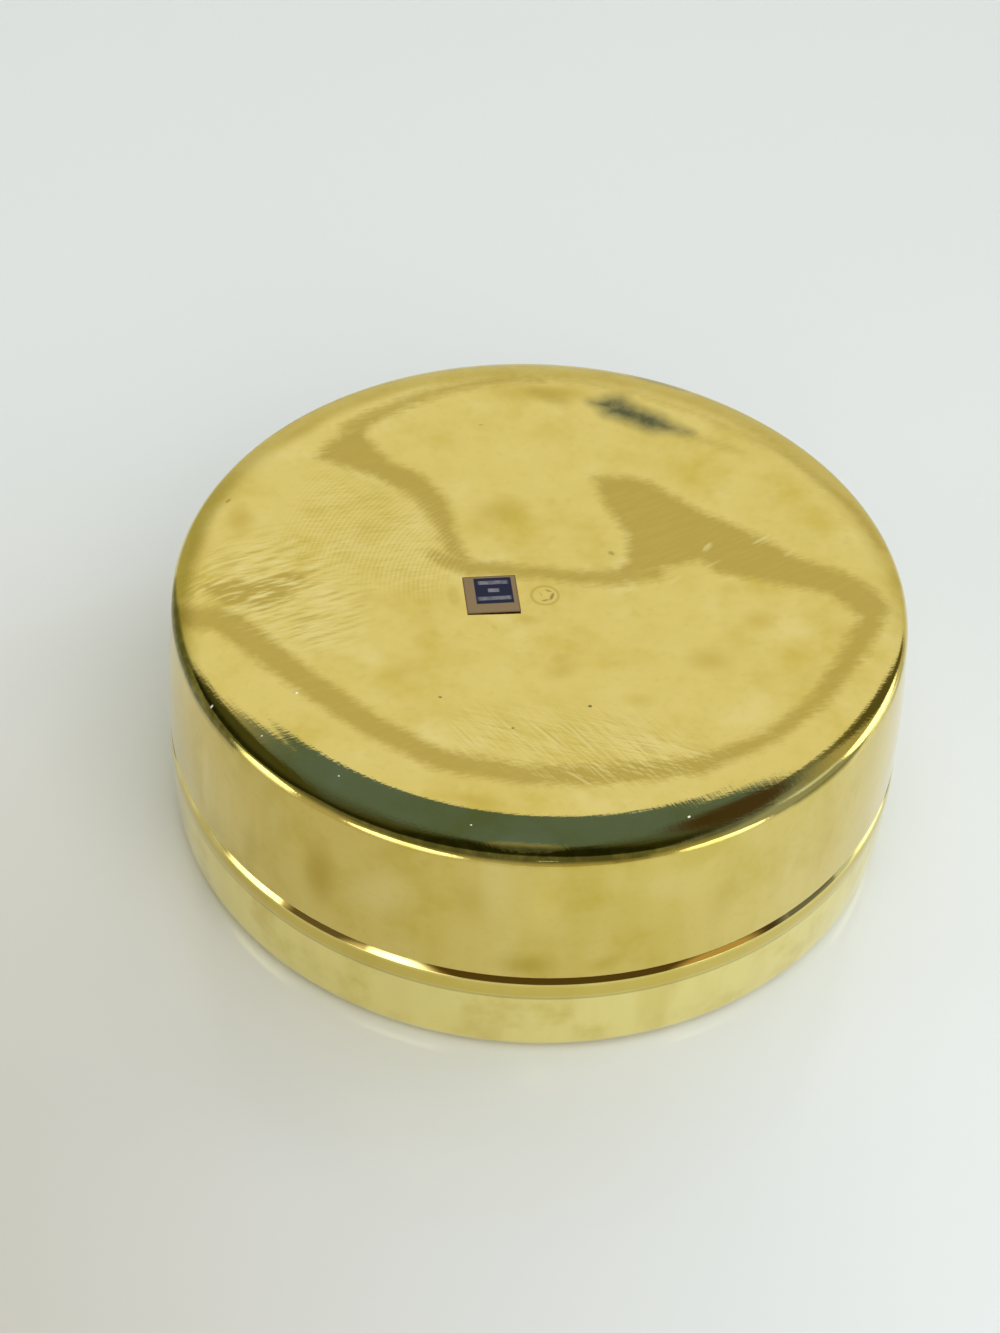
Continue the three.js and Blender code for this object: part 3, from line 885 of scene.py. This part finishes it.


# The lid's brass is the same, painted paler, with painted shade and dark reflection on its
# bevel, in the groove between the rims.
def makeLidBrass(finish, pan, marks):
    material, tree = newMaterial("buffedSpunBrassLid")
    ground = addBrassGround(tree, finish, "lidMetalPaintedPaler")
    wallPlace, height = addWallPlace(tree, ground["place"])
    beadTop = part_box("lid_shell")[1].z - pan["bevelHeight"]
    beadHalf = pan["beadHeight"] / 2
    footShadeLine = beadTop - pan["beadHeight"] - marks["footShadeDrop"]
    colour = ground["colour"]
    # painted reflection: a deeper, warmer gold over the bead; painted shade: a thin dark line along
    # its foot
    for middle, half, tone, strength in (
        (beadTop - beadHalf, beadHalf, "warmPatch", marks["beadReflectionStrength"]),
        (footShadeLine, marks["footShadeHalf"], "smudge", marks["footShadeStrength"]),
    ):
        away = addNode(tree, "ShaderNodeMath", {0: height, 1: middle}, operation="SUBTRACT")
        away = addNode(tree, "ShaderNodeMath", {0: away}, operation="ABSOLUTE")
        share = addNode(tree, "ShaderNodeMapRange", {
            "Value": away, "From Min": half * 1.2, "From Max": half * 0.6, "To Max": strength,
        })
        colour = addNode(tree, "ShaderNodeMix", {
            0: share, 6: colour, 7: linearColour(finish[tone]),
        }, data_type="RGBA").outputs[2]
    # painted shade and dark reflection in the groove
    inGroove = addNode(tree, "ShaderNodeMapRange", {
        "Value": height, "From Min": beadTop, "From Max": beadTop + marks["grooveShadeFade"],
    }, interpolation_type="SMOOTHSTEP")
    paintedGrooveShade = addMarks(tree, wallPlace, marks["paintedGrooveShade"], edge=marks["grooveShadeEdge"])
    inGroove = addNode(tree, "ShaderNodeMath", {0: inGroove, 1: paintedGrooveShade}, operation="MULTIPLY")
    colour = addNode(tree, "ShaderNodeMix", {
        0: inGroove, 6: colour, 7: linearColour(finish["paintedGrooveShade"]),
    }, data_type="RGBA").outputs[2]
    least, most = finish["lidRoughnessShares"]
    roughness = addNode(tree, "ShaderNodeMapRange", {
        "Value": ground["grain"], "From Min": 0.3, "From Max": 0.7,
        "To Min": finish["roughness"] * least, "To Max": finish["roughness"] * most,
    })
    finishBrass(tree, finish, ground, colour, roughness, ground["normal"])
    return material


# Inside and on the collar the brass is satin, as the roller and the lathe tool left it: even
# fine grooves, which blur what it mirrors.
satinBrass = {
    "metal": "#dcc56c",
    "dull": "#c2aa58",
    "roughness": (0.2, 0.3),
    "grooveSpacing": 0.45 * mm,
    "grooveHeight": 0.004 * mm,
    "cloudSize": 9 * mm,
    "cloudRange": (0.35, 0.7),
}


def makeSatinBrass(name, finish, grooveType):
    material, tree = newMaterial(name)
    place = addNode(tree, "ShaderNodeTexCoord").outputs["Object"]
    clouds = addNode(tree, "ShaderNodeTexNoise", {
        "Vector": place, "Scale": 1 / finish["cloudSize"], "Detail": 4.0,
    })
    share = addNode(tree, "ShaderNodeMapRange", {
        "Value": clouds, "From Min": finish["cloudRange"][0], "From Max": finish["cloudRange"][1],
    })
    colour = addNode(tree, "ShaderNodeMix", {
        0: share, 6: linearColour(finish["metal"]), 7: linearColour(finish["dull"]),
    }, data_type="RGBA").outputs[2]
    roughness = addNode(tree, "ShaderNodeMapRange", {
        "Value": clouds, "To Min": finish["roughness"][0], "To Max": finish["roughness"][1],
    })
    grooves = addNode(tree, "ShaderNodeTexWave", {
        "Vector": place, "Scale": waveUnit / finish["grooveSpacing"],
        "Distortion": 0.8, "Detail": 1.0, "Detail Scale": 0.2,
    }, wave_type=grooveType, rings_direction="Z", bands_direction="Z")
    grooved = addNode(tree, "ShaderNodeBump", {
        "Distance": finish["grooveHeight"], "Height": grooves.outputs["Fac"],
    })
    shader = addNode(tree, "ShaderNodeBsdfPrincipled", {
        "Base Color": colour, "Metallic": 1.0, "Roughness": roughness, "Normal": grooved,
    })
    addNode(tree, "ShaderNodeOutputMaterial", {"Surface": shader})
    return material


# Origin sticker: clear polyester film over brass, printed with a dark blue panel that holds three
# plain pale bars. Sizes in millimetres, in the sticker's own axes.
stickerPrint = {
    "centre": (-8.26, -1.56),
    "turnDegrees": 9.2,
    "side": 9.05,
    "film": "#86704f",
    # a darker margin round the film: its cut edge, with a painted shadow along it
    "filmEdge": "#6c5438",
    "filmEdgeShare": 0.96,
    "ink": "#0f1130",
    "barInk": "#84828c",
    "barInkShares": (0.35, 0.85),
    "panel": (0.46, 0.88, 6.35, 6.35),
    "bars": [(0.5, 2.9, 4.9, 0.9), (0.45, 0.95, 1.9, 0.9), (0.4, -1.0, 5.5, 0.9)],
    "roughness": (0.34, 0.48),
    "cloudSize": 1.4,
    "cloudHeight": 0.01,
}


# Inside a rectangle, the larger of |u| / a and |v| / b is under 1, with u and v measured from its
# centre and a and b its half sides. The edge fades over a share of them.
def addRectangle(tree, place, rectangle, softShare):
    x, y, width, height = rectangle
    own = addNode(tree, "ShaderNodeMapping", {
        "Vector": place,
        "Location": (x * mm, y * mm, 0),
        "Scale": (width * mm / 2, height * mm / 2, 1),
    }, vector_type="TEXTURE")
    size = addNode(tree, "ShaderNodeVectorMath", {0: own}, operation="ABSOLUTE")
    parts = addNode(tree, "ShaderNodeSeparateXYZ", {0: size}).outputs
    larger = addNode(tree, "ShaderNodeMath", {0: parts[0], 1: parts[1]}, operation="MAXIMUM")
    return addNode(tree, "ShaderNodeMapRange", {
        "Value": larger, "From Min": 1 + softShare, "From Max": 1 - softShare,
    }, interpolation_type="SMOOTHSTEP")


def makeStickerFilm(design):
    material, tree = newMaterial("printedPolyesterFilm")
    place = addNode(tree, "ShaderNodeMapping", {
        "Vector": addNode(tree, "ShaderNodeTexCoord").outputs["Object"],
        "Location": (design["centre"][0] * mm, design["centre"][1] * mm, 0),
        "Rotation": (0, 0, math.radians(design["turnDegrees"])),
    }, vector_type="TEXTURE")
    cloud = addNode(tree, "ShaderNodeTexNoise", {
        "Vector": place, "Scale": 1 / (design["cloudSize"] * mm), "Detail": 3.0,
    })
    clearSide = design["side"] * design["filmEdgeShare"]
    least, most = design["barInkShares"]
    thinInk = addNode(tree, "ShaderNodeMapRange", {
        "Value": cloud, "From Min": 0.3, "From Max": 0.6, "To Min": least, "To Max": most,
    })
    colour = linearColour(design["filmEdge"])
    for rectangle, soft, tone in (
        ((0, 0, clearSide, clearSide), 0.05, "film"), (design["panel"], 0.02, "ink"),
        *[(bar, 0.12, "barInk") for bar in design["bars"]],
    ):
        share = addRectangle(tree, place, rectangle, soft)
        if tone == "barInk":
            share = addNode(tree, "ShaderNodeMath", {0: share, 1: thinInk}, operation="MULTIPLY")
        colour = addNode(tree, "ShaderNodeMix", {
            0: share, 6: colour, 7: linearColour(design[tone]),
        }, data_type="RGBA").outputs[2]
    roughness = addNode(tree, "ShaderNodeMapRange", {
        "Value": cloud, "To Min": design["roughness"][0], "To Max": design["roughness"][1],
    })
    bump = addNode(tree, "ShaderNodeBump", {
        "Distance": design["cloudHeight"] * mm, "Height": cloud,
    })
    shader = addNode(tree, "ShaderNodeBsdfPrincipled", {
        "Base Color": colour, "Roughness": roughness, "Normal": bump, "Specular IOR Level": 0.25,
    })
    addNode(tree, "ShaderNodeOutputMaterial", {"Surface": shader})
    return material


# Studio: a pale gloss table in a room with a bright wall behind the box, mid tones round it and a
# dark ceiling over its front. Directions are azimuths from +Y, clockwise seen from above, and
# elevations, in degrees.
table = {
    "colour": "#eaeef0",
    # shade: a painted shadow, darker and warmer, on the table to the front left of the box
    "shade": "#c3bbac",
    "shadeAt": (-0.2, -0.21),
    "shadeHalf": (0.24, 0.28),
    "shadeFade": (1.3, 0.2),
    "size": 4.0,
    "roughness": 0.14,
}
room = {
    "brightWall": "#f3f4f3",
    "wallCentreAzimuth": -13,
    "wallLeftReach": 65,
    "wallRightEdge": 47,
    "wallRightSoftness": 1,
    "wallTop": 58,
    "wallEdgeSoftness": 0.035,
    "dimRoom": "#b5b29a",
    "ceilingFront": "#60778f",
    "ceilingElsewhere": "#45482c",
    "ceilingFrontReach": 70,
    "ceilingFrontSoftness": 25,
    "ceilingFrom": 44,
    "ceilingTo": 60,
}
# Soft oval patches of the room, each drawn over the ones before it: azimuth, elevation, half the
# width and height, colour, strength and softness. The last five are windows.
roomPatches = [
    (180, 30, 68, 48, "#b5b29a", 1.0, 0.12),
    (-180, 30, 68, 48, "#b5b29a", 1.0, 0.12),
    (0, 91, 420, 6, "#8e9182", 1.0, 0.1),
    (-7, 62, 27, 11, "#60778f", 1.0, 0.06),
    (0, 5, 62, 21, "#d8d5b8", 1.0, 0.42),
    (-50, 9, 27, 26, "#b9b890", 1.0, 0.3),
    (-78, 44, 26, 19, "#494c30", 1.0, 0.12),
    (51, 28, 5, 24, "#5c5a3c", 1.0, 0.35),
    (96, 52, 28, 13, "#98a2b4", 1.0, 0.3),
    (58, 64, 20, 8, "#4a3f32", 1.0, 0.4),
    (100, 18, 28, 30, "#a0a8b2", 1.0, 0.3),
    (80, 42, 10, 9, "#d4e2ff", 1.1, 0.5),
    (68.5, 18, 12, 17, "#f4fbff", 3.0, 0.2),
    (126, 5, 12, 10, "#f4fbff", 2.8, 0.3),
    (-104, 8, 11, 14, "#f4fbff", 3.2, 0.25),
    (-148, 4, 15, 13, "#f4fbff", 3.2, 0.25),
    (173, 41, 3, 2, "#f4fbff", 3.0, 0.1),
]
# Softboxes that light the table and the sticker. The brass doesn't mirror them.
softboxes = [
    {"name": "overheadSoftbox", "at": (0.25, 0.0, 1.3), "size": 1.6, "radiance": 0.65},
    {"name": "frontSoftbox", "at": (0.45, -1.2, 0.8), "size": 1.2, "radiance": 1.6},
    {"name": "nearSoftbox", "at": (0.14, -0.34, 0.7), "size": 0.6, "radiance": 1.15},
]


def makeTable(settings):
    half = settings["size"] / 2
    mesh = bpy.data.meshes.new("table")
    corners = [(-half, -half, 0), (half, -half, 0), (half, half, 0), (-half, half, 0)]
    mesh.from_pydata(corners, [], [(0, 1, 2, 3)])
    tableTop = bpy.data.objects.new("table", mesh)
    bpy.context.scene.collection.objects.link(tableTop)
    material, tree = newMaterial("whiteGlossTable")
    place = addNode(tree, "ShaderNodeTexCoord").outputs["Object"]
    own = addNode(tree, "ShaderNodeMapping", {
        "Vector": place,
        "Location": (*settings["shadeAt"], 0),
        "Scale": (*settings["shadeHalf"], 1),
    }, vector_type="TEXTURE")
    reach = addNode(tree, "ShaderNodeVectorMath", {0: own}, operation="LENGTH").outputs["Value"]
    # painted shadow on the table
    inShade = addNode(tree, "ShaderNodeMapRange", {
        "Value": reach, "From Min": settings["shadeFade"][0], "From Max": settings["shadeFade"][1],
    }, interpolation_type="SMOOTHSTEP")
    colour = addNode(tree, "ShaderNodeMix", {
        0: inShade, 6: linearColour(settings["colour"]), 7: linearColour(settings["shade"]),
    }, data_type="RGBA").outputs[2]
    shader = addNode(tree, "ShaderNodeBsdfPrincipled", {
        "Base Color": colour, "Roughness": settings["roughness"],
    })
    addNode(tree, "ShaderNodeOutputMaterial", {"Surface": shader})
    mesh.materials.append(material)
    return tableTop


# The bright wall is where sqrt(u² + v²) < 1, with u the azimuth past the wall's centre to the
# left, as a share of its reach, and v the elevation as a share of the wall's top.
def makeRoom(settings, patches):
    world = bpy.data.worlds.new("brightWalledRoom")
    bpy.context.scene.world = world
    world.use_nodes = True
    tree = world.node_tree
    tree.nodes.clear()
    direction = addNode(tree, "ShaderNodeTexCoord").outputs["Generated"]
    parts = addNode(tree, "ShaderNodeSeparateXYZ", {0: direction}).outputs
    turn = addNode(tree, "ShaderNodeMath", {0: parts[0], 1: parts[1]}, operation="ARCTAN2")
    azimuth = addNode(tree, "ShaderNodeMath", {0: turn}, operation="DEGREES")
    rise = addNode(tree, "ShaderNodeMath", {0: parts[2]}, operation="ARCSINE")
    elevation = addNode(tree, "ShaderNodeMath", {0: rise}, operation="DEGREES")
    pastCentre = addNode(tree, "ShaderNodeMath", {
        0: azimuth, 1: settings["wallCentreAzimuth"],
    }, operation="SUBTRACT")
    leftwards = addNode(tree, "ShaderNodeMath", {0: pastCentre, 1: 0.0}, operation="MINIMUM")
    wallPlace = addNode(tree, "ShaderNodeCombineXYZ", {0: leftwards, 1: elevation})
    wallShare = addNode(tree, "ShaderNodeVectorMath", {
        0: wallPlace, 1: (settings["wallLeftReach"], settings["wallTop"], 1),
    }, operation="DIVIDE")
    reach = addNode(tree, "ShaderNodeVectorMath", {
        0: wallShare,
    }, operation="LENGTH").outputs["Value"]
    soft = settings["wallEdgeSoftness"]
    inWall = addNode(tree, "ShaderNodeMapRange", {
        "Value": reach, "From Min": 1 + soft, "From Max": 1 - soft,
    }, interpolation_type="SMOOTHSTEP")
    edge, soft = settings["wallRightEdge"], settings["wallRightSoftness"]
    leftOfEdge = addNode(tree, "ShaderNodeMapRange", {
        "Value": azimuth, "From Min": edge + soft, "From Max": edge - soft,
    })
    inWall = addNode(tree, "ShaderNodeMath", {0: inWall, 1: leftOfEdge}, operation="MULTIPLY")
    aside = addNode(tree, "ShaderNodeMath", {0: azimuth}, operation="ABSOLUTE")
    edge, soft = settings["ceilingFrontReach"], settings["ceilingFrontSoftness"]
    front = addNode(tree, "ShaderNodeMapRange", {
        "Value": aside, "From Min": edge + soft, "From Max": edge - soft,
    }, interpolation_type="SMOOTHSTEP")
    overhead = addNode(tree, "ShaderNodeMapRange", {
        "Value": elevation, "From Min": settings["ceilingFrom"], "From Max": settings["ceilingTo"],
    }, interpolation_type="SMOOTHSTEP")
    colour = linearColour(settings["dimRoom"])
    ceiling = addNode(tree, "ShaderNodeMix", {
        0: front, 6: linearColour(settings["ceilingElsewhere"]),
        7: linearColour(settings["ceilingFront"]),
    }, data_type="RGBA").outputs[2]
    layers = [(overhead, ceiling), (inWall, linearColour(settings["brightWall"]))]
    sky = addNode(tree, "ShaderNodeCombineXYZ", {0: azimuth, 1: elevation})
    for around, up, halfWidth, halfHeight, hexColour, strength, soft in patches:
        own = addNode(tree, "ShaderNodeMapping", {
            "Vector": sky, "Location": (around, up, 0), "Scale": (halfWidth, halfHeight, 1),
        }, vector_type="TEXTURE")
        reach = addNode(tree, "ShaderNodeVectorMath", {0: own}, operation="LENGTH").outputs["Value"]
        share = addNode(tree, "ShaderNodeMapRange", {
            "Value": reach, "From Min": 1 + soft, "From Max": 1 - soft,
        }, interpolation_type="SMOOTHSTEP")
        layers.append((share, [channel * strength for channel in linearColour(hexColour)]))
    for share, layer in layers:
        colour = addNode(tree, "ShaderNodeMix", {
            0: share, 6: colour, 7: layer,
        }, data_type="RGBA").outputs[2]
    background = addNode(tree, "ShaderNodeBackground", {"Color": colour, "Strength": 1.0})
    addNode(tree, "ShaderNodeOutputWorld", {"Surface": background})


def makeSoftboxes(boxes):
    # a square lamp of radiance L and side s gives the power pi L s², and faces the box
    for box in boxes:
        light = bpy.data.lights.new(box["name"], "AREA")
        light.size = box["size"]
        light.energy = math.pi * box["radiance"] * box["size"] ** 2
        holder = bpy.data.objects.new(box["name"], light)
        holder.location = box["at"]
        holder.rotation_euler = Vector(box["at"]).to_track_quat("Z", "Y").to_euler()
        bpy.context.scene.collection.objects.link(holder)
        holder.visible_camera = False
        holder.visible_glossy = False


makeCamera(cameraView)
print("stage: camera")

baseShell = turnedPiece("base_shell_spun", baseSections(basePan), basePan["turnSpans"])
markUnderside(baseShell, undersideMarks)
lidShell = turnedPiece("lid_shell_spun", lidSections(lidPan), lidPan["turnSpans"])
collar = turnedPiece("neck_collar_turned", collarSections(neckRing), neckRing["turnSpans"])
print("stage: shells and collar")

undersideBrass = makeUndersideBrass(brassFinish, undersideMarks)
lidBrass = makeLidBrass(brassFinish, lidPan, lidMarks)
insideBrass = makeSatinBrass("satinSpunBrassInside", satinBrass, "RINGS")
collarBrass = makeSatinBrass("satinTurnedBrassCollar", satinBrass, "BANDS")
for piece, node, body, slot, materials in (
    (baseShell, "base_shell", "base", "base_brass", (undersideBrass, insideBrass)),
    (lidShell, "lid_shell", "lid", "lid_brass", (insideBrass, lidBrass)),
    (collar, "neck_collar", "base", "collar_brass", (collarBrass,)),
):
    for material in materials:
        piece.data.materials.append(material)
    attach(piece, body)
    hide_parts(node)
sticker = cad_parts["origin_sticker"]
sticker.data.materials.clear()
sticker.data.materials.append(makeStickerFilm(stickerPrint))
print("stage: materials")

makeTable(table)
makeRoom(room, roomPatches)
makeSoftboxes(softboxes)
bpy.context.scene.view_settings.view_transform = "Standard"
print("stage: room")
